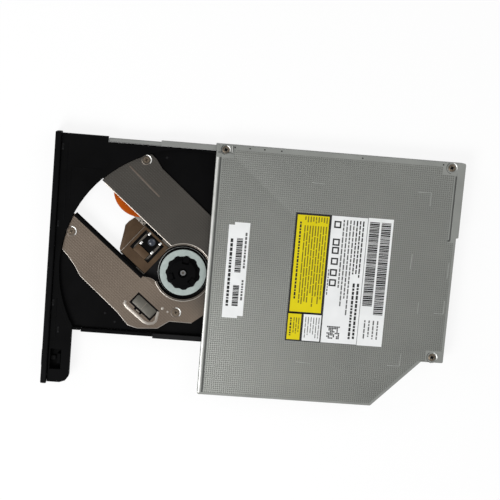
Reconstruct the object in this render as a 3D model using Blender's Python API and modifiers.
# Slim tray-load optical disc drive, with its tray drawn out.
# Metres, +Z up, -Y is the front. The origin is the middle of the housing's underside.
import math

import bmesh
import bpy
from mathutils import Vector

# Housing
HOUSING_WIDTH = 0.1280
HOUSING_DEPTH = 0.1261
SHEET = 0.0006               # floor of the case and top cover
CASE_WALL = 0.0005           # side walls of the case
CORNER_CUT_WIDTH = 0.0249    # rear right corner: how much narrower the rear is
CORNER_CUT_FRONT = 0.0367    # where the slanted side starts, from the rear
CORNER_CUT_REAR = 0.01255    # where the slanted side ends, from the rear
REAR_STEP = 0.00115          # the right part of the rear edge is set back
REAR_STEP_X = -0.0260
GAP = 0.0003                 # clearance between pieces that touch
SLIDE_GAP = 0.0004           # clearance beside pieces that slide
LUG_SHEET = 0.0005           # lugs that take the cover screws
LUG_HALF = 0.0024
COVER_SCREW_INSET = 0.0026   # cover screws, from the case sides
FRONT_SCREW_Y = 0.0046       # front screw, from the front edge
REAR_SCREW_Y = 0.0070        # rear screws, from the rear edge
SCREW_HEAD_RADIUS = 0.0018
SCREW_HEAD_HEIGHT = 0.00028
SCREW_SHANK_RADIUS = 0.0006
SCREW_PLAY = 0.0002
DIMPLE_DEPTH = 0.0004
GROOVE_WIDTH = 0.0006
GROOVE_DEPTH = 0.0002
FRONT_BEAD = 0.0022          # bead in front of the cover's front groove
COVER_ROUND = 0.0008

# Slide rails and their guides
GUIDE_SHEET = 0.0003
GUIDE_WALL = 0.0005
GUIDE_CORNER_GAP = 0.0057    # right guide, from the slanted side
RAIL_SHEET = 0.0004
RAIL_DEPTH = 0.0025
LEFT_RAIL_START = 0.0490     # from the tray's front
LEFT_RAIL_LENGTH = 0.1000
RIGHT_RAIL_START = 0.0516
RIGHT_RAIL_LENGTH = 0.0840
RUNNER_GAP = 0.0045          # right runner, from the arm
SMALL_ROUND = 0.0002

# Tray
DRAWN_OUT = 0.07645          # how far the tray stands out in this pose
TRAY_LENGTH = 0.1236
TRAY_WALL = 0.0012
TRAY_CLEAR_BELOW = 0.0014
TRAY_CLEAR_ABOVE = 0.0011
WELL_RADIUS = 0.0622
WELL_DEPTH = 0.0025
FLOOR_SHEET = 0.0010
WELL_LEFT_RIM = 0.0004       # tray beside the well, at its left and front
WELL_FRONT_RIM = 0.00245
SPINDLE_TO_RIGHT = 0.0318    # spindle to the tray's right side
BLOCK_LENGTH = 0.0227        # wide block at the tray's front left
ARM_DEPTH = 0.0107           # arm behind the bezel's right half
ARM_CHAMFER = 0.0034
NOTCH_X = 0.0070             # rear right notch that clears the connector
NOTCH_DEPTH = 0.0115
BOTTOM_COVER_SHEET = 0.0004

# Bezel, button and lamp
BEZEL_SIDE_GAP = 0.0001
BEZEL_THICKNESS = 0.0030
BEZEL_FLOOR_GAP = 0.0004
BEZEL_TOP_GAP = 0.0002
BEZEL_ROUND = 0.0006
CLOSED_GAP = 0.00045
BUTTON_FROM_RIGHT = 0.0128
BUTTON_WIDTH = 0.0084
BUTTON_HEIGHT = 0.0020
BUTTON_PROUD = 0.0005
BUTTON_Z = 0.0043
BUTTON_TRAVEL = 0.0006
STEM_WIDTH = 0.0020
STEM_HEIGHT = 0.0010
RECESS_WIDTH = 0.0105        # recess in the arm that holds the switch
RECESS_WALL = 0.0008
RECESS_LENGTH = 0.0055
SWITCH_DEPTH = 0.0017
LAMP_FROM_RIGHT = 0.0230
LAMP_RADIUS = 0.0008
PINHOLE_FROM_RIGHT = 0.0275
PINHOLE_RADIUS = 0.0006

# Traverse: the carriage runs outwards from the spindle, along its own X axis
TRAVERSE_TURN = math.radians(-129.5)
FRAME_SHEET = 0.0004
EAR_HEIGHT = 0.0024          # bearing ears of the carriage
EAR_TO_PLATE = 0.0005
PLATE_SHEET = 0.0005
PLATE_RIM_GAP = 0.0004       # between the plate and the wall of the disc well
PLATE_LEDGE = 0.0035         # how far the plate overlaps the tray floor
SLOT_LOW = -0.0058
SLOT_HIGH = 0.0157
SPINDLE_HOLE_RADIUS = 0.0147
SUB_ROD_N = -0.0085
MAIN_ROD_N = 0.0192
ROD_RADIUS = 0.00075
ROD_PLAY = 0.00015
ROD_START = 0.0114
ROD_SHORT = 0.0016           # rods end this far inside the well's radius
ROD_POST = 0.0018
PLATE_ARC_START = math.radians(-31.5)
PLATE_ARC_END = math.radians(32.5)
PLATE_STEP = 0.0020          # size of the bends in the plate's edge
PLATE_COLLAR = 0.0083        # plate behind the spindle hole
PLATE_ROUND = 0.0006
SCREW_RIM = 0.00204          # outer screws, from the plate's arc
UPPER_SCREW_INSET = 0.0039
LOWER_SCREW_N = 0.0236
INNER_SCREW_S = -0.0116
INNER_SCREW_N = 0.0175
LANE_START = 0.0500          # tray's opening for the carriage at its outer end
LANE_REACH = 0.0138          # and how far it runs past the well
FRAME_SLOT_ROOM = 0.0020     # slots beside the carriage
BOTTOM_SLOT_ROOM = 0.0030
TRAVERSE_SCREW_RADIUS = 0.0016
DAMPER_RADIUS = 0.0024
DAMPER_HOLE = 0.0010
BOSS_HEIGHT = 0.0013
FLEX_S = 0.0460              # middle of the ribbon's bend
FLEX_N = -0.0172
FLEX_BULGE = 0.0142
FLEX_WIDTH = 0.0047
FLEX_START = math.radians(50)
FLEX_END = math.radians(130)

# Spindle
BASE_SHEET = 0.0003
ROTOR_RADIUS = 0.0125
ROTOR_SHEET = 0.0004
SHAFT_RADIUS = 0.0010
STATOR_RADIUS = 0.0105
STATOR_TEETH = 9
TURNTABLE_RADIUS = 0.0122
RING_OUTER = 0.0117
RING_INNER = 0.0089
RING_HEIGHT = 0.0005
HUB_RADIUS = 0.0074
HUB_RISE = 0.0015            # hub above the disc's seat
DISC_RISE = 0.0005           # disc's seat above the plate
CLAW_COUNT = 3
CLAW_WIDTH = 0.0030
CLAW_LENGTH = 0.0026
CLAW_PROUD = 0.0006
CLAW_HEIGHT = 0.0007

# Feed drive
SCREW_N = 0.0262
LEAD_SCREW_RADIUS = 0.0010
JOURNAL_RADIUS = 0.0006
FEED_SHORT = 0.0059          # lead screw ends this far before the lower screw
MOTOR_START = -0.00445
MOTOR_LENGTH = 0.01295
MOTOR_WIDTH = 0.0056
BRACKET_SHEET = 0.0005

# Carriage
SLED_START = 0.0135
SLED_FOLD = 0.0300
SLED_NOSE = 0.0375
SLED_LOW = -0.0045
SLED_HIGH = 0.0145
SLED_HEIGHT = 0.0016
EAR_LENGTH = 0.0055
EAR_WALL = 0.0006
LENS_S = 0.0219
LENS_RADIUS = 0.0019
ACTUATOR_LENGTH = 0.0125
ACTUATOR_LOW = -0.0028
ACTUATOR_HIGH = 0.0090
MAGNET_SHEET = 0.0012
COVER_SHEET = 0.00025
SLED_ROUND = 0.0005

# Latch
PIVOT_FROM_RIGHT = 0.0067
PIVOT_FROM_FRONT = 0.0087
LATCH_REACH = 0.0098
LATCH_SHEET = 0.0010
LATCH_NOSE = 0.0013
PIVOT_RADIUS = 0.0007
PIN_RADIUS = 0.0008
PIN_HEIGHT = 0.0025
SOLENOID_LENGTH = 0.0085

# Electronics
BOARD_SHEET = 0.0008
CHIP_HEIGHT = 0.0012
CHIP_SHARE = 0.64            # of the board's width beside the tray
CHIP_PLACES = (0.25, 0.65)   # along the board's straight part
BOARD_NECK = 0.0045          # board round the rail's end
NECK_DEPTH = 0.0023
CONNECTOR_WIDTH = 0.0220
CONNECTOR_X = 0.0240
CONNECTOR_DEPTH = 0.0058
CONNECTOR_HEIGHT = 0.0036
CONNECTOR_WALL = 0.0008
TONGUE_SHARE = 0.8           # tongue across the connector's mouth
KEY_SHARE = 0.1              # gap in the tongue, right of the middle

# Heights, worked out from the floor up
tray_low = SHEET + TRAY_CLEAR_BELOW
frame_top = tray_low + FRAME_SHEET
ear_low = frame_top + GAP
ear_top = ear_low + EAR_HEIGHT
rod_z = (ear_low + ear_top) / 2
plate_low = ear_top + EAR_TO_PLATE
plate_top = plate_low + PLATE_SHEET
well_floor = plate_low - GAP
floor_low = well_floor - FLOOR_SHEET
tray_top = well_floor + WELL_DEPTH
cover_low = tray_top + TRAY_CLEAR_ABOVE
cover_top = cover_low + SHEET
case_top = cover_low - GAP
guide_low = SHEET + GAP
rail_low = guide_low + GUIDE_SHEET + GAP
rail_top = tray_top - GAP / 3
lip_top = rail_low + GAP
disc_seat = plate_top + DISC_RISE

# Places across and along the housing
side = HOUSING_WIDTH / 2
front = -HOUSING_DEPTH / 2
rear = HOUSING_DEPTH / 2
rear_right = rear - REAR_STEP
rear_side = side - CORNER_CUT_WIDTH
inner_left = -side + CASE_WALL
left_web = inner_left + SLIDE_GAP
tray_left = left_web + RAIL_DEPTH + SLIDE_GAP
spindle_x = tray_left + WELL_LEFT_RIM + WELL_RADIUS
tray_right = spindle_x + SPINDLE_TO_RIGHT
right_web = tray_right + SLIDE_GAP + RAIL_DEPTH
bezel_front = front - CLOSED_GAP - DRAWN_OUT - BEZEL_THICKNESS
bezel_back = bezel_front + BEZEL_THICKNESS
tray_front = bezel_back + GAP
tray_rear = tray_front + TRAY_LENGTH
button_x = side - BUTTON_FROM_RIGHT
lamp_x = side - LAMP_FROM_RIGHT
pinhole_x = side - PINHOLE_FROM_RIGHT
arm_rear = tray_front + ARM_DEPTH
block_rear = tray_front + BLOCK_LENGTH
strip_front = tray_rear + DRAWN_OUT - NOTCH_DEPTH + GAP
spindle = Vector((spindle_x, tray_front + WELL_FRONT_RIM + WELL_RADIUS, 0))
pivot = Vector((tray_right - PIVOT_FROM_RIGHT, tray_front + PIVOT_FROM_FRONT, 0))
lane_right = tray_right - TRAY_WALL
pin_x = lane_right - 2 * GAP - PIN_RADIUS
nose_low = pivot.y + LATCH_REACH - LATCH_NOSE
pin_y = nose_low - GAP - PIN_RADIUS + DRAWN_OUT
plate_arc = WELL_RADIUS - PLATE_RIM_GAP
rod_end = WELL_RADIUS - ROD_SHORT
upper_screw_n = plate_arc * math.sin(PLATE_ARC_START) + UPPER_SCREW_INSET
screw_circle = plate_arc - SCREW_RIM
traverse_screws = [
    (math.sqrt(screw_circle ** 2 - upper_screw_n ** 2), upper_screw_n),
    (math.sqrt(screw_circle ** 2 - LOWER_SCREW_N ** 2), LOWER_SCREW_N),
    (INNER_SCREW_S, INNER_SCREW_N),
]
lead_screw_end = traverse_screws[1][0] - FEED_SHORT
boss_low = floor_low - BOSS_HEIGHT / 4

for old in list(bpy.data.objects):
    bpy.data.objects.remove(old, do_unlink=True)

parts = bpy.data.collections.new("optical_drive")
cutters = bpy.data.collections.new("cutters")
bpy.context.scene.collection.children.link(parts)
bpy.context.scene.collection.children.link(cutters)


def finish(name, colour, roughness, metallic):
    mat = bpy.data.materials.new(name)
    mat.use_nodes = True
    shader = mat.node_tree.nodes["Principled BSDF"]
    shader.inputs["Base Color"].default_value = (*colour, 1)
    shader.inputs["Roughness"].default_value = roughness
    shader.inputs["Metallic"].default_value = metallic
    return mat


def axis(name, place, turn=0.0, parent=None):
    empty = bpy.data.objects.new(name, None)
    empty.location = place
    empty.rotation_euler = (0, 0, turn)
    empty.parent = parent
    parts.objects.link(empty)
    return empty


def wrap(name, mesh, parent):
    piece = bpy.data.objects.new(name, mesh)
    piece.parent = parent
    cutters.objects.link(piece)
    piece.hide_render = True
    piece.display_type = "WIRE"
    return piece


def part(piece, mat, smooth=False):
    cutters.objects.unlink(piece)
    parts.objects.link(piece)
    piece.hide_render = False
    piece.display_type = "TEXTURED"
    piece.data.materials.clear()
    piece.data.materials.append(mat)
    if smooth:
        piece.data.shade_smooth()
        piece.data.set_sharp_from_angle(angle=math.radians(35))
    return piece


def block(name, low, high, parent=None):
    bm = bmesh.new()
    bmesh.ops.create_cube(bm, size=1)
    size = Vector(high) - Vector(low)
    bmesh.ops.scale(bm, vec=size, verts=bm.verts)
    bmesh.ops.translate(bm, vec=(Vector(high) + Vector(low)) / 2, verts=bm.verts)
    mesh = bpy.data.meshes.new(name)
    bm.to_mesh(mesh)
    bm.free()
    return wrap(name, mesh, parent)


def drum(name, x, y, low, high, radius, top_radius=None, parent=None, sides=32):
    bm = bmesh.new()
    bmesh.ops.create_cone(bm, cap_ends=True, segments=sides, radius1=radius,
                          radius2=radius if top_radius is None else top_radius, depth=high - low)
    bmesh.ops.translate(bm, vec=(x, y, (low + high) / 2), verts=bm.verts)
    mesh = bpy.data.meshes.new(name)
    bm.to_mesh(mesh)
    bm.free()
    return wrap(name, mesh, parent)


def prism(name, outline, low, high, parent=None):
    curve = bpy.data.curves.new(name, "CURVE")
    curve.dimensions = "2D"
    curve.fill_mode = "BOTH"
    curve.extrude = (high - low) / 2
    spline = curve.splines.new("POLY")
    spline.points.add(len(outline) - 1)
    spline.use_cyclic_u = True
    for point, (x, y) in zip(spline.points, outline):
        point.co = (x, y, 0, 1)
    shape = bpy.data.objects.new(name, curve)
    cutters.objects.link(shape)
    graph = bpy.context.evaluated_depsgraph_get()
    mesh = bpy.data.meshes.new_from_object(shape.evaluated_get(graph))
    bpy.data.objects.remove(shape, do_unlink=True)
    bm = bmesh.new()
    bm.from_mesh(mesh)
    bmesh.ops.remove_doubles(bm, verts=bm.verts, dist=0.000001)
    bmesh.ops.translate(bm, vec=(0, 0, (low + high) / 2), verts=bm.verts)
    bmesh.ops.recalc_face_normals(bm, faces=bm.faces)
    bm.to_mesh(mesh)
    bm.free()
    return wrap(name, mesh, parent)


def turned(name, profile, parent=None, steps=32, closed=False):
    mesh = bpy.data.meshes.new(name)
    edges = [(i, i + 1) for i in range(len(profile) - 1)]
    if closed:
        edges.append((len(profile) - 1, 0))
    mesh.from_pydata([(r, 0, z) for r, z in profile], edges, [])
    piece = wrap(name, mesh, parent)
    screw = piece.modifiers.new("turn", "SCREW")
    screw.steps = steps
    screw.render_steps = steps
    screw.use_merge_vertices = True
    screw.merge_threshold = 0.000001
    return piece


def rod(name, start, end, radius, parent=None):
    curve = bpy.data.curves.new(name, "CURVE")
    curve.dimensions = "3D"
    curve.bevel_depth = radius
    curve.bevel_resolution = 2
    curve.use_fill_caps = True
    spline = curve.splines.new("POLY")
    spline.points.add(1)
    spline.points[0].co = (*start, 1)
    spline.points[1].co = (*end, 1)
    shape = bpy.data.objects.new(name, curve)
    cutters.objects.link(shape)
    graph = bpy.context.evaluated_depsgraph_get()
    mesh = bpy.data.meshes.new_from_object(shape.evaluated_get(graph))
    bpy.data.objects.remove(shape, do_unlink=True)
    bm = bmesh.new()
    bm.from_mesh(mesh)
    bmesh.ops.remove_doubles(bm, verts=bm.verts, dist=0.000001)
    bmesh.ops.recalc_face_normals(bm, faces=bm.faces)
    bm.to_mesh(mesh)
    bm.free()
    return wrap(name, mesh, parent)


def boolean(piece, tool, operation):
    modifier = piece.modifiers.new(tool.name, "BOOLEAN")
    modifier.operation = operation
    modifier.solver = "EXACT"
    modifier.object = tool


def cut(piece, *tools):
    for tool in tools:
        boolean(piece, tool, "DIFFERENCE")


def fuse(piece, *tools):
    for tool in tools:
        boolean(piece, tool, "UNION")


def soften(piece, width, segments=2):
    bevel = piece.modifiers.new("rounded edges", "BEVEL")
    bevel.width = width
    bevel.segments = segments
    bevel.limit_method = "ANGLE"


def arc(radius, start, end, count):
    step = (end - start) / count
    return [(radius * math.cos(start + step * i), radius * math.sin(start + step * i))
            for i in range(count + 1)]


def rounded(outline, radius, count=3):
    result = []
    for i, corner in enumerate(outline):
        here = Vector(corner)
        back = Vector(outline[i - 1]) - here
        ahead = Vector(outline[(i + 1) % len(outline)]) - here
        half = back.angle(ahead) / 2
        reach = min(radius / math.tan(half), back.length * 0.45, ahead.length * 0.45)
        begin = here + back.normalized() * reach
        stop = here + ahead.normalized() * reach
        for k in range(count + 1):
            t = k / count
            result.append(tuple(begin * (1 - t) ** 2 + here * 2 * t * (1 - t) + stop * t ** 2))
    return result


def inset(outline, distance):
    result = []
    for i, corner in enumerate(outline):
        here = Vector(corner)
        along = (here - Vector(outline[i - 1])).normalized()
        onward = (Vector(outline[(i + 1) % len(outline)]) - here).normalized()
        left = Vector((-along.y, along.x))
        left_on = Vector((-onward.y, onward.x))
        miter = (left + left_on).normalized()
        result.append(tuple(here + miter * (distance / miter.dot(left))))
    return result


# Finishes
cover_steel = finish("cover_steel", (0.24, 0.25, 0.23), 0.45, 0.8)
case_steel = finish("case_steel", (0.30, 0.31, 0.30), 0.40, 0.9)
rail_steel = finish("rail_steel", (0.42, 0.43, 0.43), 0.35, 0.9)
bright_steel = finish("bright_steel", (0.55, 0.55, 0.54), 0.25, 1.0)
plate_steel = finish("plate_steel", (0.18, 0.14, 0.11), 0.45, 0.7)
sled_metal = finish("sled_metal", (0.16, 0.15, 0.14), 0.5, 0.7)
sled_cover = finish("sled_cover", (0.11, 0.08, 0.05), 0.4, 0.7)
magnet_metal = finish("magnet_metal", (0.5, 0.5, 0.5), 0.3, 1.0)
motor_can = finish("motor_can", (0.19, 0.18, 0.15), 0.45, 0.8)
black_plastic = finish("black_plastic", (0.006, 0.006, 0.007), 0.5, 0.0)
guide_plastic = finish("guide_plastic", (0.03, 0.03, 0.03), 0.5, 0.0)
ring_rubber = finish("ring_rubber", (0.38, 0.45, 0.43), 0.7, 0.0)
damper_rubber = finish("damper_rubber", (0.02, 0.02, 0.02), 0.8, 0.0)
board_green = finish("board_green", (0.02, 0.13, 0.05), 0.5, 0.0)
flex_orange = finish("flex_orange", (0.58, 0.11, 0.005), 0.4, 0.0)
lamp_clear = finish("lamp_clear", (0.2, 0.35, 0.15), 0.2, 0.0)
lens_glass = finish("lens_glass", (0.25, 0.3, 0.4), 0.05, 0.0)
copper_wire = finish("copper_wire", (0.45, 0.16, 0.06), 0.4, 0.8)

# Joint axes
traverse = axis("traverse_axis", spindle, TRAVERSE_TURN)
spindle_axis = axis("spindle_axis", (0, 0, 0), 0.0, traverse)
sled_axis = axis("sled_axis", (0, 0, 0), 0.0, traverse)
screw_axis = axis("lead_screw_axis", (0, SCREW_N, rod_z), 0.0, traverse)
latch_axis = axis("latch_axis", pivot)
tray_axis = axis("tray_axis", (0, tray_front, 0))

housing_outline = [
    (-side, front),
    (side, front),
    (side, rear - CORNER_CUT_FRONT),
    (rear_side, rear - CORNER_CUT_REAR),
    (rear_side, rear_right),
    (REAR_STEP_X, rear_right),
    (REAR_STEP_X, rear),
    (-side, rear),
]
cover_screws = [
    (-side + COVER_SCREW_INSET, front + FRONT_SCREW_Y),
    (-side + COVER_SCREW_INSET, rear - REAR_SCREW_Y),
    (rear_side - COVER_SCREW_INSET, rear_right - REAR_SCREW_Y + REAR_STEP),
]
past = 4 * SHEET             # how far a cutter runs past the face it opens


def build_case():
    case = prism("bottom_case", housing_outline, 0, case_top)
    room = inset(housing_outline, CASE_WALL)
    room[0] = (room[0][0], front - past)
    room[1] = (room[1][0], front - past)
    cut(case, prism("case_room", room, SHEET, case_top + past))
    for number, (x, y) in enumerate(cover_screws, 1):
        lug_low = case_top - LUG_SHEET
        if x < 0:
            lug = block(f"lug_{number}", (-side + CASE_WALL / 2, y - LUG_HALF, lug_low),
                        (x + LUG_HALF, y + LUG_HALF, case_top))
        else:
            lug = block(f"lug_{number}", (x - LUG_HALF, y - LUG_HALF, lug_low),
                        (rear_side - CASE_WALL / 2, y + LUG_HALF, case_top))
        fuse(case, lug)
        cut(case, drum(f"lug_hole_{number}", x, y, lug_low - past / 4, case_top + past,
                       SCREW_SHANK_RADIUS + SCREW_PLAY, sides=16))
    half = CONNECTOR_WIDTH / 2 + GAP
    window_low = guide_low + BOARD_SHEET
    cut(case, block("connector_window", (CONNECTOR_X - half, rear_right - past, window_low),
                    (CONNECTOR_X + half, rear_right + past, window_low + CONNECTOR_HEIGHT + 3 * GAP)))
    part(case, case_steel)


def build_cover():
    cover = prism("top_cover", rounded(housing_outline, COVER_ROUND), cover_low, cover_top)
    groove_low = cover_top - GROOVE_DEPTH
    groove_y = front + FRONT_BEAD
    tab = 2 * COVER_SCREW_INSET
    cut(cover, block("front_groove", (-side + tab, groove_y, groove_low),
                     (side - COVER_SCREW_INSET, groove_y + GROOVE_WIDTH, cover_top + past)))
    groove_y = rear - REAR_SCREW_Y + COVER_SCREW_INSET
    cut(cover, block("rear_groove", (-side + tab, groove_y, groove_low),
                     (REAR_STEP_X, groove_y + GROOVE_WIDTH, cover_top + past)))
    cut(cover, block("front_tab", (-side - past, front + FRONT_BEAD / 2, groove_low),
                     (-side + tab - GROOVE_WIDTH, front + 2 * FRONT_SCREW_Y, cover_top + past)))
    for number, (x, y) in enumerate(cover_screws, 1):
        seat = cover_top - DIMPLE_DEPTH
        cut(cover, drum(f"dimple_{number}", x, y, seat, cover_top + GAP,
                        SCREW_HEAD_RADIUS + SCREW_PLAY, SCREW_HEAD_RADIUS + 3 * SCREW_PLAY))
        cut(cover, drum(f"cover_hole_{number}", x, y, cover_low - past / 4, cover_top,
                        SCREW_SHANK_RADIUS + SCREW_PLAY, sides=16))
        head_top = seat + GAP / 3 + SCREW_HEAD_HEIGHT
        screw = turned(f"cover_screw_{number}", [
            (0, head_top), (SCREW_HEAD_RADIUS * 0.8, head_top),
            (SCREW_HEAD_RADIUS, head_top - SCREW_HEAD_HEIGHT / 2), (SCREW_HEAD_RADIUS, seat + GAP / 3),
            (SCREW_SHANK_RADIUS, seat + GAP / 3), (SCREW_SHANK_RADIUS, case_top - LUG_SHEET),
            (0, case_top - LUG_SHEET)], steps=20)
        screw.location = (x, y, 0)
        part(screw, bright_steel, smooth=True)
    part(cover, cover_steel)


def channel(name, web_out, flange_edge, start, length):
    low_x, high_x = sorted((web_out, flange_edge))
    rail = block(name, (low_x, start, rail_low), (high_x, start + length, rail_top), tray_axis)
    inner = [web_out, flange_edge]
    inner[0] += RAIL_SHEET if flange_edge > web_out else -RAIL_SHEET
    inner[1] += past if flange_edge > web_out else -past
    low_x, high_x = sorted(inner)
    cut(rail, block(name + "_hollow", (low_x, start - past, rail_low + RAIL_SHEET),
                    (high_x, start + length + past, rail_top - RAIL_SHEET), tray_axis))
    part(rail, rail_steel)


def right_guide_rear():
    slope = (CORNER_CUT_FRONT - CORNER_CUT_REAR) / CORNER_CUT_WIDTH
    corner_x = right_web + SLIDE_GAP + GUIDE_WALL + GUIDE_CORNER_GAP
    before_corner = rear - CORNER_CUT_REAR - (corner_x - rear_side) * slope
    before_strip = strip_front - NECK_DEPTH - 3 * GAP
    return min(before_corner, before_strip)


def build_rails():
    channel("left_slide_rail", left_web, left_web + RAIL_DEPTH, LEFT_RAIL_START, LEFT_RAIL_LENGTH)
    channel("right_slide_rail", right_web, right_web - RAIL_DEPTH, RIGHT_RAIL_START, RIGHT_RAIL_LENGTH)
    closed_end = tray_front + DRAWN_OUT
    lip_x = left_web + RAIL_DEPTH + GAP
    left_front = front + GAP * 4
    left_rear = rear - CASE_WALL - GAP
    guide = block("left_rail_guide", (inner_left + GAP, left_front, guide_low),
                  (lip_x + GUIDE_WALL, left_rear, guide_low + GUIDE_SHEET))
    fuse(guide, block("left_lip", (lip_x, left_front, guide_low + GUIDE_SHEET / 2),
                      (lip_x + GUIDE_WALL, left_rear, lip_top)))
    part(guide, guide_plastic)
    lip_x = right_web - RAIL_DEPTH - GAP
    right_front = closed_end + ARM_DEPTH + GAP * 2
    wall_x = right_web + SLIDE_GAP
    right_rear = right_guide_rear()
    guide = block("right_rail_guide", (lip_x - GUIDE_WALL, right_front, guide_low),
                  (wall_x + GUIDE_WALL, right_rear, guide_low + GUIDE_SHEET))
    fuse(guide, block("right_lip", (lip_x - GUIDE_WALL, right_front, guide_low + GUIDE_SHEET / 2),
                      (lip_x, right_rear, lip_top)))
    fuse(guide, block("right_wall", (wall_x, right_front, guide_low + GUIDE_SHEET / 2),
                      (wall_x + GUIDE_WALL, right_rear, rail_top)))
    part(guide, guide_plastic)


def build_electronics():
    edge = inset(housing_outline, CASE_WALL + 2 * GAP)
    board_right = edge[2][0]
    guide_side = right_web + SLIDE_GAP + GUIDE_WALL + 2 * GAP
    board_front = tray_front + DRAWN_OUT + ARM_DEPTH + 4 * GAP
    board_left = CONNECTOR_X - CONNECTOR_WIDTH / 2 - CONNECTOR_WALL
    board_rear = rear_right - CASE_WALL - GAP
    neck_left = edge[3][0] - BOARD_NECK
    neck_front = right_guide_rear() + 3 * GAP
    top = guide_low + BOARD_SHEET
    board = prism("main_circuit_board", [
        (guide_side, board_front),
        (board_right, board_front),
        edge[2],
        edge[3],
        (edge[4][0], board_rear),
        (board_left, board_rear),
        (board_left, strip_front),
        (neck_left, strip_front),
        (neck_left, neck_front),
        (guide_side, neck_front),
    ], guide_low, top)
    middle = (guide_side + board_right) / 2
    half = (board_right - guide_side) * CHIP_SHARE / 2
    for number, share in enumerate(CHIP_PLACES, 1):
        y = board_front + (edge[2][1] - board_front) * share
        fuse(board, block(f"chip_{number}", (middle - half, y - half, top - BOARD_SHEET / 2),
                          (middle + half, y + half, top + CHIP_HEIGHT)))
    part(board, board_green)
    low = top + GAP
    high = low + CONNECTOR_HEIGHT
    half = CONNECTOR_WIDTH / 2
    wall = CONNECTOR_WALL
    back = rear_right - CONNECTOR_DEPTH
    body = block("rear_connector", (CONNECTOR_X - half, back, low), (CONNECTOR_X + half, rear_right, high))
    cut(body, block("connector_mouth", (CONNECTOR_X - half + wall, back + 2 * wall, low + wall),
                    (CONNECTOR_X + half - wall, rear_right + past, high - wall)))
    key = CONNECTOR_X + half * KEY_SHARE
    reach = half * TONGUE_SHARE
    tongue_low = (low + high - wall) / 2
    for number, (left, right) in enumerate(((CONNECTOR_X - reach, key), (key + wall, CONNECTOR_X + reach))):
        fuse(body, block(f"connector_tongue_{number}", (left, back + wall, tongue_low),
                         (right, rear_right - wall, tongue_low + wall)))
    part(body, black_plastic)


def traverse_plate_outline():
    wide = arc(plate_arc, PLATE_ARC_START, PLATE_ARC_END, 16)
    first = Vector(wide[0])
    last = Vector(wide[-1])
    step = PLATE_STEP
    motor_edge = SCREW_N + MOTOR_WIDTH / 2
    back = SPINDLE_HOLE_RADIUS + PLATE_COLLAR
    lower = [
        (last.x - 2.8 * step, last.y + 0.35 * step),
        (last.x - 5.5 * step, last.y + step),
        (last.x - 8 * step, last.y + 1.9 * step),
        (MOTOR_START + MOTOR_LENGTH + 0.75 * step, motor_edge + 4.3 * step),
        (MOTOR_START + 3 * step, motor_edge + 4.9 * step),
        (MOTOR_START + 0.7 * step, motor_edge + 3.85 * step),
        (MOTOR_START - 3 * step, motor_edge + 0.4 * step),
        (MOTOR_START - 3.9 * step, motor_edge - 3 * step),
        (INNER_SCREW_S - 4.8 * step, INNER_SCREW_N - 0.85 * step),
    ]
    hidden = [(-back, back / 3), (-back, -back * 0.35), (-back * 0.43, -back * 1.04)]
    upper = [
        (SPINDLE_HOLE_RADIUS * 0.63, first.y + 0.9 * step),
        (first.x - 4.35 * step, first.y + 0.75 * step),
        (first.x - 1.85 * step, first.y + 0.05 * step),
    ]
    return wide + lower + hidden + upper


def traverse_frame_outline():
    (upper_s, upper_n), (lower_s, lower_n), (inner_s, inner_n) = traverse_screws
    lobe = DAMPER_RADIUS
    back = SPINDLE_HOLE_RADIUS + 4 * GAP
    tip = rod_end + ROD_POST - GAP / 3
    return [
        (-back, -back * 0.63),
        (-back / 2, -back * 1.26),
        (upper_s - 1.9 * lobe, upper_n + 1.8 * lobe),
        (upper_s - 1.1 * lobe, upper_n - 1.1 * lobe),
        (upper_s + 1.2 * lobe, upper_n - 1.1 * lobe),
        (tip, SUB_ROD_N - lobe),
        (tip, MAIN_ROD_N + ROD_POST),
        (lower_s + 1.3 * lobe, lower_n + 1.2 * lobe),
        (lower_s - 1.2 * lobe, lower_n + 2.9 * lobe),
        (MOTOR_START + MOTOR_LENGTH / 2, SCREW_N + 2 * lobe),
        (inner_s + 1.5 * lobe, inner_n + 3.1 * lobe),
        (inner_s - 1.4 * lobe, inner_n + 1.25 * lobe),
        (-back * 1.07, back / 2),
    ]


def sled_lane(start, low, high):
    shoulder = rod_end + ROD_POST
    far = WELL_RADIUS + LANE_REACH
    return [
        (start, low),
        (far, low),
        (far - 3 * GAP, SLOT_HIGH / 3),
        (far - LANE_REACH * 0.7, SLOT_HIGH + GAP),
        (shoulder, SLOT_HIGH + 3 * GAP),
        (shoulder, high),
        (start, high),
    ]


plate_outline = traverse_plate_outline()


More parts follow.
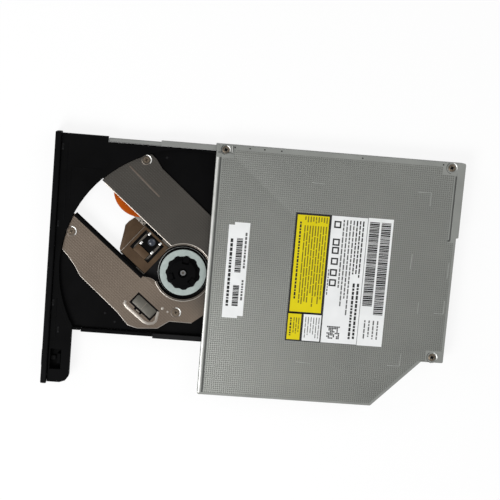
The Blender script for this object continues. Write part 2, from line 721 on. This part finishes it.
def build_tray():
    block_left = inner_left + SLIDE_GAP
    arm_right = side - CASE_WALL - SLIDE_GAP
    notch_y = tray_rear - NOTCH_DEPTH
    tray = prism("tray", [
        (block_left, tray_front),
        (arm_right, tray_front),
        (arm_right, arm_rear - ARM_CHAMFER * 1.3),
        (arm_right - ARM_CHAMFER * 0.3, arm_rear - ARM_CHAMFER * 0.5),
        (arm_right - ARM_CHAMFER, arm_rear),
        (tray_right, arm_rear),
        (tray_right, notch_y),
        (NOTCH_X, notch_y),
        (NOTCH_X, tray_rear),
        (tray_left, tray_rear),
        (tray_left, block_rear),
        (block_left, block_rear),
    ], tray_low, tray_top)
    cut(tray, drum("disc_well", spindle.x, spindle.y, well_floor, tray_top + past, WELL_RADIUS, sides=96))
    hollow = inset([(tray_left, tray_front), (tray_right, tray_front), (tray_right, notch_y),
                    (NOTCH_X, notch_y), (NOTCH_X, tray_rear), (tray_left, tray_rear)], TRAY_WALL)
    cut(tray, prism("tray_hollow", hollow, tray_low - past, floor_low))
    lane_left = pin_x - PIN_RADIUS - 2 * GAP
    cut(tray, block("pin_lane", (lane_left, notch_y - 2 * TRAY_WALL, tray_low - past),
                    (lane_right, notch_y + past, floor_low)))
    cut(tray, prism("floor_opening", inset(plate_outline, PLATE_LEDGE), floor_low - GAP, well_floor + GAP,
                    traverse))
    lane = sled_lane(LANE_START, SUB_ROD_N - 3 * ROD_RADIUS, MAIN_ROD_N + 3 * ROD_RADIUS)
    cut(tray, prism("sled_lane", lane, tray_low - past, well_floor + GAP, traverse))
    wide = MOTOR_WIDTH / 2 + BRACKET_SHEET + 2 * GAP
    cut(tray, block("feed_room", (MOTOR_START - GAP, SCREW_N - wide, tray_low - past),
                    (lead_screw_end + GAP, SCREW_N + wide, well_floor + GAP), traverse))
    for number, (s, n) in enumerate(traverse_screws, 1):
        fuse(tray, drum(f"boss_{number}", s, n, boss_low, well_floor - GAP / 2, DAMPER_RADIUS,
                        parent=traverse))
        cut(tray, drum(f"boss_hole_{number}", s, n, tray_low, tray_top, DAMPER_HOLE, parent=traverse,
                       sides=16))
    fuse(tray, drum("latch_pivot", pivot.x, pivot.y, tray_low + GAP / 2, floor_low + GAP, PIVOT_RADIUS,
                    sides=16))
    half = RECESS_WIDTH / 2
    recess_front = tray_front + RECESS_WALL
    cut(tray, block("switch_recess", (button_x - half, recess_front, BUTTON_Z - BUTTON_HEIGHT / 2 + GAP / 2),
                    (button_x + half, recess_front + RECESS_LENGTH, tray_top + past)))
    half = STEM_WIDTH / 2 + GAP
    cut(tray, block("stem_hole", (button_x - half, tray_front - past, BUTTON_Z - STEM_HEIGHT / 2 - GAP),
                    (button_x + half, recess_front + GAP, BUTTON_Z + STEM_HEIGHT / 2 + GAP)))
    part(tray, black_plastic)


def build_tray_fittings():
    runner_low = rail_low + RAIL_SHEET + GAP
    runner_top = rail_top - RAIL_SHEET - GAP
    rear_end = tray_rear - TRAY_WALL
    runner = block("tray_runner_left", (left_web + RAIL_SHEET + GAP, block_rear + GAP, runner_low),
                   (tray_left - GAP, rear_end, runner_top))
    soften(runner, SMALL_ROUND, 1)
    part(runner, rail_steel)
    runner = block("tray_runner_right", (tray_right + GAP, arm_rear + RUNNER_GAP, runner_low),
                   (right_web - RAIL_SHEET - GAP, tray_rear - NOTCH_DEPTH - TRAY_WALL, runner_top))
    soften(runner, SMALL_ROUND, 1)
    part(runner, rail_steel)
    top = tray_low - GAP
    low = top - BOTTOM_COVER_SHEET
    sheet = block("tray_bottom_cover", (tray_left + TRAY_WALL, tray_front + TRAY_WALL / 2, low),
                  (pin_x - PIN_RADIUS - 2 * GAP, tray_rear - NOTCH_DEPTH - TRAY_WALL, top))
    lane = sled_lane(SLED_START, SLED_LOW - BOTTOM_SLOT_ROOM, SLED_HIGH + BOTTOM_SLOT_ROOM)
    cut(sheet, prism("bottom_slot", lane, low - past, top + past, traverse))
    part(sheet, case_steel)
    pin = turned("latch_pin", [(0, guide_low + PIN_HEIGHT), (PIN_RADIUS, guide_low + PIN_HEIGHT),
                               (PIN_RADIUS, guide_low + GAP), (PIN_RADIUS + GAP, guide_low + GAP),
                               (PIN_RADIUS + GAP, guide_low), (0, guide_low)], steps=16)
    pin.location = (pin_x, pin_y, 0)
    part(pin, bright_steel, smooth=True)


def build_bezel():
    half = side - BEZEL_SIDE_GAP
    low = BEZEL_FLOOR_GAP
    top = cover_top - BEZEL_TOP_GAP
    bezel = block("front_bezel", (-half, bezel_front, low), (half, bezel_back, top))
    soften(bezel, BEZEL_ROUND, 3)
    wide = BUTTON_WIDTH / 2 + GAP
    tall = BUTTON_HEIGHT / 2 + GAP
    cut(bezel, block("button_window", (button_x - wide, bezel_front - past, BUTTON_Z - tall),
                     (button_x + wide, bezel_back + past, BUTTON_Z + tall)))
    cut(bezel, rod("lamp_hole", (lamp_x, bezel_front - past, BUTTON_Z), (lamp_x, bezel_back + past, BUTTON_Z),
                   LAMP_RADIUS + GAP))
    cut(bezel, rod("release_hole", (pinhole_x, bezel_front - past, BUTTON_Z),
                   (pinhole_x, bezel_back + past, BUTTON_Z), PINHOLE_RADIUS))
    part(bezel, black_plastic)
    lamp = rod("indicator_lens", (lamp_x, bezel_front, BUTTON_Z), (lamp_x, bezel_back, BUTTON_Z),
               LAMP_RADIUS)
    part(lamp, lamp_clear, smooth=True)
    button_axis = axis("button_axis", (button_x, bezel_front, BUTTON_Z))
    half = BUTTON_WIDTH / 2
    tall = BUTTON_HEIGHT / 2
    button = block("eject_button", (-half, -BUTTON_PROUD, -tall),
                   (half, BEZEL_THICKNESS - BUTTON_TRAVEL, tall), button_axis)
    soften(button, BEZEL_ROUND / 2)
    switch_y = RECESS_WALL + RECESS_LENGTH - GAP - SWITCH_DEPTH
    stem_end = BEZEL_THICKNESS + switch_y - BUTTON_TRAVEL
    fuse(button, block("button_stem", (-STEM_WIDTH / 2, BEZEL_THICKNESS / 2, -STEM_HEIGHT / 2),
                       (STEM_WIDTH / 2, stem_end, STEM_HEIGHT / 2), button_axis))
    part(button, black_plastic)
    half = RECESS_WIDTH / 4
    switch = block("eject_switch", (button_x - half, tray_front + switch_y, BUTTON_Z - tall + 2 * GAP),
                   (button_x + half, tray_front + switch_y + SWITCH_DEPTH, BUTTON_Z + 2 * tall))
    soften(switch, SMALL_ROUND, 1)
    part(switch, guide_plastic)


def build_traverse():
    plate = prism("traverse_cover", rounded(plate_outline, PLATE_ROUND, 2), plate_low, plate_top, traverse)
    cut(plate, block("sled_slot", (SLED_START / 2, SLOT_LOW, plate_low - past),
                     (WELL_RADIUS + past, SLOT_HIGH, plate_top + past), traverse))
    cut(plate, drum("spindle_hole", 0, 0, plate_low - past, plate_top + past, SPINDLE_HOLE_RADIUS,
                    parent=traverse, sides=64))
    wide = MOTOR_WIDTH / 2 + GAP
    cut(plate, block("motor_window", (MOTOR_START - GAP, SCREW_N - wide, plate_low - past),
                     (MOTOR_START + MOTOR_LENGTH + GAP, SCREW_N + wide, plate_top + past), traverse))
    frame = prism("traverse_frame", traverse_frame_outline(), tray_low, frame_top, traverse)
    cut(frame, block("frame_slot", (SLED_START + GAP, SLED_LOW - FRAME_SLOT_ROOM, tray_low - past),
                     (WELL_RADIUS + 2 * past, SLED_HIGH + FRAME_SLOT_ROOM, frame_top + past), traverse))
    cut(frame, drum("frame_hole", 0, 0, tray_low - past, frame_top + past, SHAFT_RADIUS * 4, parent=traverse))
    for name, n in (("main", MAIN_ROD_N), ("sub", SUB_ROD_N)):
        for end, s in (("inner", ROD_START), ("outer", rod_end - ROD_POST)):
            fuse(frame, block(f"{name}_{end}_post", (s, n - 2 * ROD_RADIUS, frame_top - FRAME_SHEET / 2),
                              (s + ROD_POST, n + 2 * ROD_RADIUS, ear_top - GAP), traverse))
        cut(frame, rod(f"{name}_rod_hole", (ROD_START - past, n, rod_z), (rod_end + past, n, rod_z),
                       ROD_RADIUS + ROD_PLAY, traverse))
        part(rod(f"guide_rod_{name}", (ROD_START, n, rod_z), (rod_end, n, rod_z), ROD_RADIUS, traverse),
             bright_steel, smooth=True)
    for number, (s, n) in enumerate(traverse_screws, 1):
        hole = DAMPER_HOLE
        cut(plate, drum(f"plate_hole_{number}", s, n, plate_low - past, plate_top + past, hole,
                        parent=traverse, sides=16))
        cut(frame, drum(f"frame_hole_{number}", s, n, tray_low - past, frame_top + past, hole,
                        parent=traverse, sides=16))
        damper_low = frame_top + GAP
        damper_top = boss_low - GAP
        waist = (DAMPER_RADIUS * 0.85, (damper_low + damper_top) / 2)
        damper = turned(f"rubber_damper_{number}", [
            (hole, damper_top), (DAMPER_RADIUS, damper_top), waist, (DAMPER_RADIUS, damper_low),
            (hole, damper_low)], traverse, 20, closed=True)
        damper.location = (s, n, 0)
        part(damper, damper_rubber, smooth=True)
        head_low = plate_top + GAP / 3
        shank = hole - GAP
        screw = turned(f"traverse_screw_{number}", [
            (0, head_low + GAP), (TRAVERSE_SCREW_RADIUS, head_low + GAP), (TRAVERSE_SCREW_RADIUS, head_low),
            (shank, head_low), (shank, tray_low), (0, tray_low)], traverse, 20)
        screw.location = (s, n, 0)
        part(screw, bright_steel, smooth=True)
    part(plate, plate_steel)
    part(frame, case_steel)
    low = ear_top + EAR_TO_PLATE * 0.3
    band = arc(FLEX_BULGE, FLEX_START, FLEX_END, 8) + arc(FLEX_BULGE - FLEX_WIDTH, FLEX_END, FLEX_START, 8)
    ribbon = [(FLEX_S + s, FLEX_N + n) for s, n in band]
    part(prism("pickup_flex", ribbon, low, low + EAR_TO_PLATE * 0.25, traverse), flex_orange)


def build_spindle():
    base_low = frame_top + GAP
    base_top = base_low + BASE_SHEET
    rotor_top = plate_low - GAP
    rotor_low = base_top + GAP
    bore = SHAFT_RADIUS + GAP
    tube = SHAFT_RADIUS * 2.4
    tube_top = rotor_top - ROTOR_SHEET - GAP
    base = turned("spindle_motor_base", [
        (bore, tube_top), (tube, tube_top), (tube, base_top), (ROTOR_RADIUS + GAP, base_top),
        (ROTOR_RADIUS + GAP, base_low), (bore, base_low)], traverse, 32, closed=True)
    part(base, case_steel, smooth=True)
    stator_top = tube_top - GAP
    core = tube + GAP
    stator = turned("spindle_stator", [
        (core, stator_top), (STATOR_RADIUS, stator_top), (STATOR_RADIUS, rotor_low), (core, rotor_low)],
        traverse, 36, closed=True)
    for number in range(STATOR_TEETH):
        gap = block(f"winding_gap_{number}", (core * 1.8, -GAP * 2, rotor_low - past),
                    (STATOR_RADIUS + past, GAP * 2, stator_top + past), traverse)
        gap.rotation_euler = (0, 0, math.tau * number / STATOR_TEETH)
        cut(stator, gap)
    part(stator, copper_wire)
    inner = ROTOR_RADIUS - ROTOR_SHEET
    rotor = turned("rotor_cup", [
        (bore, rotor_top), (inner, rotor_top), (ROTOR_RADIUS, rotor_top - ROTOR_SHEET),
        (ROTOR_RADIUS, rotor_low), (inner, rotor_low), (inner, rotor_top - ROTOR_SHEET),
        (bore, rotor_top - ROTOR_SHEET)],
        spindle_axis, 40, closed=True)
    part(rotor, case_steel, smooth=True)
    hub_top = disc_seat + HUB_RISE
    hub_low = rotor_top + GAP
    flange_top = disc_seat - RING_HEIGHT - GAP
    collar = RING_INNER - GAP
    slope = HUB_RISE * 0.75
    hub = turned("turntable_hub", [
        (bore, hub_top - slope), (bore * 1.6, hub_top - slope), (bore * 1.9, hub_top),
        (HUB_RADIUS - slope, hub_top), (HUB_RADIUS, hub_top - slope), (HUB_RADIUS, disc_seat - GAP),
        (collar, disc_seat - GAP), (collar, flange_top), (TURNTABLE_RADIUS, flange_top),
        (TURNTABLE_RADIUS, hub_low), (bore, hub_low)], spindle_axis, 40, closed=True)
    part(turned("friction_ring", [
        (RING_INNER, disc_seat), (RING_OUTER, disc_seat), (RING_OUTER, disc_seat - RING_HEIGHT),
        (RING_INNER, disc_seat - RING_HEIGHT)], spindle_axis, 40, closed=True), ring_rubber, smooth=True)
    part(rod("spindle_shaft", (0, 0, base_low), (0, 0, hub_top - slope / 2), SHAFT_RADIUS, spindle_axis),
         bright_steel, smooth=True)
    claw_out = HUB_RADIUS + CLAW_PROUD
    claw_in = claw_out - CLAW_LENGTH
    claw_low = disc_seat + GAP
    half = CLAW_WIDTH / 2
    for number in range(1, CLAW_COUNT + 1):
        turn = math.tau * (number - 0.5) / CLAW_COUNT
        slot = block(f"claw_slot_{number}", (claw_in - CLAW_PROUD - GAP, -half - GAP, claw_low - GAP),
                     (claw_out + past, half + GAP, hub_top + past), spindle_axis)
        slot.rotation_euler = (0, 0, turn)
        cut(hub, slot)
        claw = prism(f"clamp_claw_{number}", rounded([
            (claw_in, -half), (HUB_RADIUS - GAP, -half), (claw_out, -half / 2), (claw_out, half / 2),
            (HUB_RADIUS - GAP, half), (claw_in, half)], GAP), claw_low, claw_low + CLAW_HEIGHT, spindle_axis)
        claw.rotation_euler = (0, 0, turn)
        part(claw, black_plastic)
    part(hub, black_plastic, smooth=True)


def build_feed():
    low = frame_top + GAP
    motor_end = MOTOR_START + MOTOR_LENGTH
    half = MOTOR_WIDTH / 2
    motor = block("feed_motor", (MOTOR_START, SCREW_N - half, low),
                  (motor_end, SCREW_N + half, plate_top), traverse)
    soften(motor, 2 * SMALL_ROUND)
    part(motor, motor_can)
    plate_in = motor_end + GAP
    wall_n = SCREW_N + half + GAP
    plate_out = lead_screw_end - BRACKET_SHEET
    wall_out = wall_n + BRACKET_SHEET
    top = ear_top
    edge = SCREW_N - half / 2
    bracket = prism("feed_bracket", [
        (plate_in, edge), (plate_in + BRACKET_SHEET, edge), (plate_in + BRACKET_SHEET, wall_n),
        (plate_out, wall_n), (plate_out, edge), (lead_screw_end, edge), (lead_screw_end, wall_out),
        (plate_in, wall_out)], low, top, traverse)
    cut(bracket, rod("journal_hole", (plate_in - past, SCREW_N, rod_z),
                     (lead_screw_end + past, SCREW_N, rod_z), JOURNAL_RADIUS + ROD_PLAY, traverse))
    part(bracket, rail_steel)
    thread_end = plate_out - GAP
    thread_start = plate_in + BRACKET_SHEET + GAP
    screw = turned("lead_screw", [
        (0, lead_screw_end), (JOURNAL_RADIUS, lead_screw_end), (JOURNAL_RADIUS, thread_end),
        (LEAD_SCREW_RADIUS, thread_end), (LEAD_SCREW_RADIUS, thread_start), (JOURNAL_RADIUS, thread_start),
        (JOURNAL_RADIUS, plate_in), (0, plate_in)], screw_axis, 20)
    screw.rotation_euler = (0, math.pi / 2, 0)
    part(screw, bright_steel, smooth=True)
    nut_start = thread_start + GAP
    nut_end = SLED_START - GAP * 4
    arm_n = MAIN_ROD_N + 2 * ROD_RADIUS + GAP
    nut_n = edge - 2 * GAP
    follower = block("screw_follower", (nut_start, nut_n, low), (nut_end, wall_n - 2 * GAP, top), sled_axis)
    fuse(follower, block("follower_arm", (nut_start, arm_n, low),
                         (SLED_START + EAR_LENGTH / 2, nut_n + GAP, top - GAP), sled_axis))
    cut(follower, rod("nut_hole", (nut_start - past, SCREW_N, rod_z), (nut_end + past, SCREW_N, rod_z),
                      LEAD_SCREW_RADIUS + ROD_PLAY, sled_axis))
    part(follower, black_plastic)


def build_carriage():
    top = ear_low + SLED_HEIGHT
    body = prism("pickup_body", rounded([
        (SLED_START, SLED_LOW), (SLED_FOLD, SLED_LOW), (SLED_NOSE - 3 * SLED_ROUND, SLED_LOW * 0.4),
        (SLED_NOSE, 0), (SLED_NOSE, SLED_HIGH * 0.2), (SLED_FOLD + 3 * SLED_ROUND, SLED_HIGH * 0.85),
        (SLED_FOLD, SLED_HIGH), (SLED_START, SLED_HIGH)], SLED_ROUND, 2), ear_low, top, sled_axis)
    reach = 2 * ROD_RADIUS
    lap = EAR_WALL / 2
    ear_end = SLED_START + EAR_LENGTH
    fuse(body, block("main_ear", (SLED_START, SLED_HIGH - lap, ear_low),
                     (ear_end, MAIN_ROD_N + reach, ear_top), sled_axis))
    fuse(body, block("sub_ear", (SLED_START, SUB_ROD_N - reach, ear_low),
                     (ear_end, SLED_LOW + lap, ear_top), sled_axis))
    for name, n in (("main", MAIN_ROD_N), ("sub", SUB_ROD_N)):
        cut(body, rod(f"{name}_bearing", (SLED_START - past, n, rod_z), (ear_end + past, n, rod_z),
                      ROD_RADIUS + ROD_PLAY, sled_axis))
    act_in = LENS_S - ACTUATOR_LENGTH / 2 + GAP
    act_out = act_in + ACTUATOR_LENGTH
    pocket_low = ear_low + GAP
    cut(body, block("actuator_pocket", (act_in, ACTUATOR_LOW, pocket_low),
                    (act_out, ACTUATOR_HIGH, top + past), sled_axis))
    part(body, sled_metal)
    sheet_low = top + GAP
    cover = prism("pickup_cover", rounded([
        (SLED_START, SLED_LOW + EAR_WALL), (SLED_FOLD, SLED_LOW + EAR_WALL),
        (SLED_FOLD, SLED_HIGH - EAR_WALL), (SLED_START, SLED_HIGH - EAR_WALL)], COVER_ROUND),
        sheet_low, sheet_low + COVER_SHEET, sled_axis)
    cut(cover, block("actuator_window", (act_in, ACTUATOR_LOW, top),
                     (act_out, ACTUATOR_HIGH, top + past), sled_axis))
    part(cover, sled_cover)
    yoke_low = pocket_low + GAP
    yoke_top = yoke_low + FRAME_SHEET / 2
    low_n = ACTUATOR_LOW + GAP
    high_n = ACTUATOR_HIGH - GAP
    yoke = block("actuator_yoke", (act_in + GAP, low_n, yoke_low), (act_out - GAP, high_n, yoke_top),
                 sled_axis)
    for name, s in (("inner", act_in + GAP), ("outer", act_out - GAP - MAGNET_SHEET / 2)):
        fuse(yoke, block(f"{name}_upstand", (s, low_n + GAP, yoke_low),
                         (s + MAGNET_SHEET / 2, high_n - GAP, sheet_low), sled_axis))
    part(yoke, case_steel)
    magnet_low = yoke_top + GAP
    magnet_in = act_in + MAGNET_SHEET / 2 + 2 * GAP
    magnet_out = act_out - MAGNET_SHEET * 1.5 - 2 * GAP
    for name, s in (("inner", magnet_in), ("outer", magnet_out)):
        magnet = block(f"magnet_{name}", (s, low_n + MAGNET_SHEET, magnet_low),
                       (s + MAGNET_SHEET, high_n - MAGNET_SHEET, sheet_low + COVER_SHEET), sled_axis)
        part(magnet, magnet_metal)
    holder_low = yoke_top + 2 * GAP
    holder_top = holder_low + 2 * SLIDE_GAP
    lens_axis = axis("lens_axis", (LENS_S, 0, 0), 0.0, sled_axis)
    inner_s = magnet_in + MAGNET_SHEET + GAP - LENS_S
    outer_s = magnet_out - GAP - LENS_S
    holder = prism("lens_holder", rounded([
        (inner_s, low_n), (outer_s, low_n), (outer_s, high_n), (inner_s, high_n)], SLED_ROUND),
        holder_low, holder_top, lens_axis)
    cut(holder, drum("lens_seat", 0, 0, holder_low - past, holder_top + past, LENS_RADIUS + ROD_PLAY,
                     parent=lens_axis, sides=24))
    part(holder, black_plastic)
    crown = LENS_RADIUS * 0.2
    lens = turned("objective_lens", [
        (0, holder_top + crown), (LENS_RADIUS * 0.5, holder_top + crown * 0.75),
        (LENS_RADIUS * 0.8, holder_top + crown * 0.3), (LENS_RADIUS, holder_top),
        (LENS_RADIUS, holder_low + GAP), (0, holder_low + GAP)], lens_axis, 24)
    part(lens, lens_glass, smooth=True)


def build_latch():
    low = tray_low + GAP
    nose_x = pin_x + PIN_RADIUS - pivot.x
    arm = 2.4 * PIVOT_RADIUS
    nose_top = LATCH_REACH
    nose = LATCH_REACH - LATCH_NOSE
    tail = -6 * PIVOT_RADIUS
    lever = prism("latch_lever", rounded([
        (tail, -PIVOT_RADIUS), (-arm, -arm * 0.8), (0, -arm), (arm * 0.9, -arm * 0.5), (arm, arm),
        (arm, nose), (nose_x, nose), (nose_x, nose + LATCH_NOSE / 2), (nose_x - arm, nose_top),
        (0, nose_top), (0, arm * 1.3), (-arm * 0.8, arm * 0.8), (tail, PIVOT_RADIUS)], GAP, 2),
        low, low + LATCH_SHEET, latch_axis)
    cut(lever, drum("pivot_hole", 0, 0, low - past, low + LATCH_SHEET + past, PIVOT_RADIUS + ROD_PLAY,
                    parent=latch_axis, sides=16))
    part(lever, case_steel)
    solenoid_right = pivot.x + tail - 2 * GAP
    solenoid = block("eject_solenoid", (solenoid_right - SOLENOID_LENGTH, pivot.y - 2 * arm, low),
                     (solenoid_right, pivot.y + 2 * arm, floor_low - GAP))
    soften(solenoid, 2 * SMALL_ROUND)
    part(solenoid, motor_can)


build_case()
build_cover()
build_rails()
build_electronics()
build_tray()
build_tray_fittings()
build_bezel()
build_traverse()
build_spindle()
build_feed()
build_carriage()
build_latch()
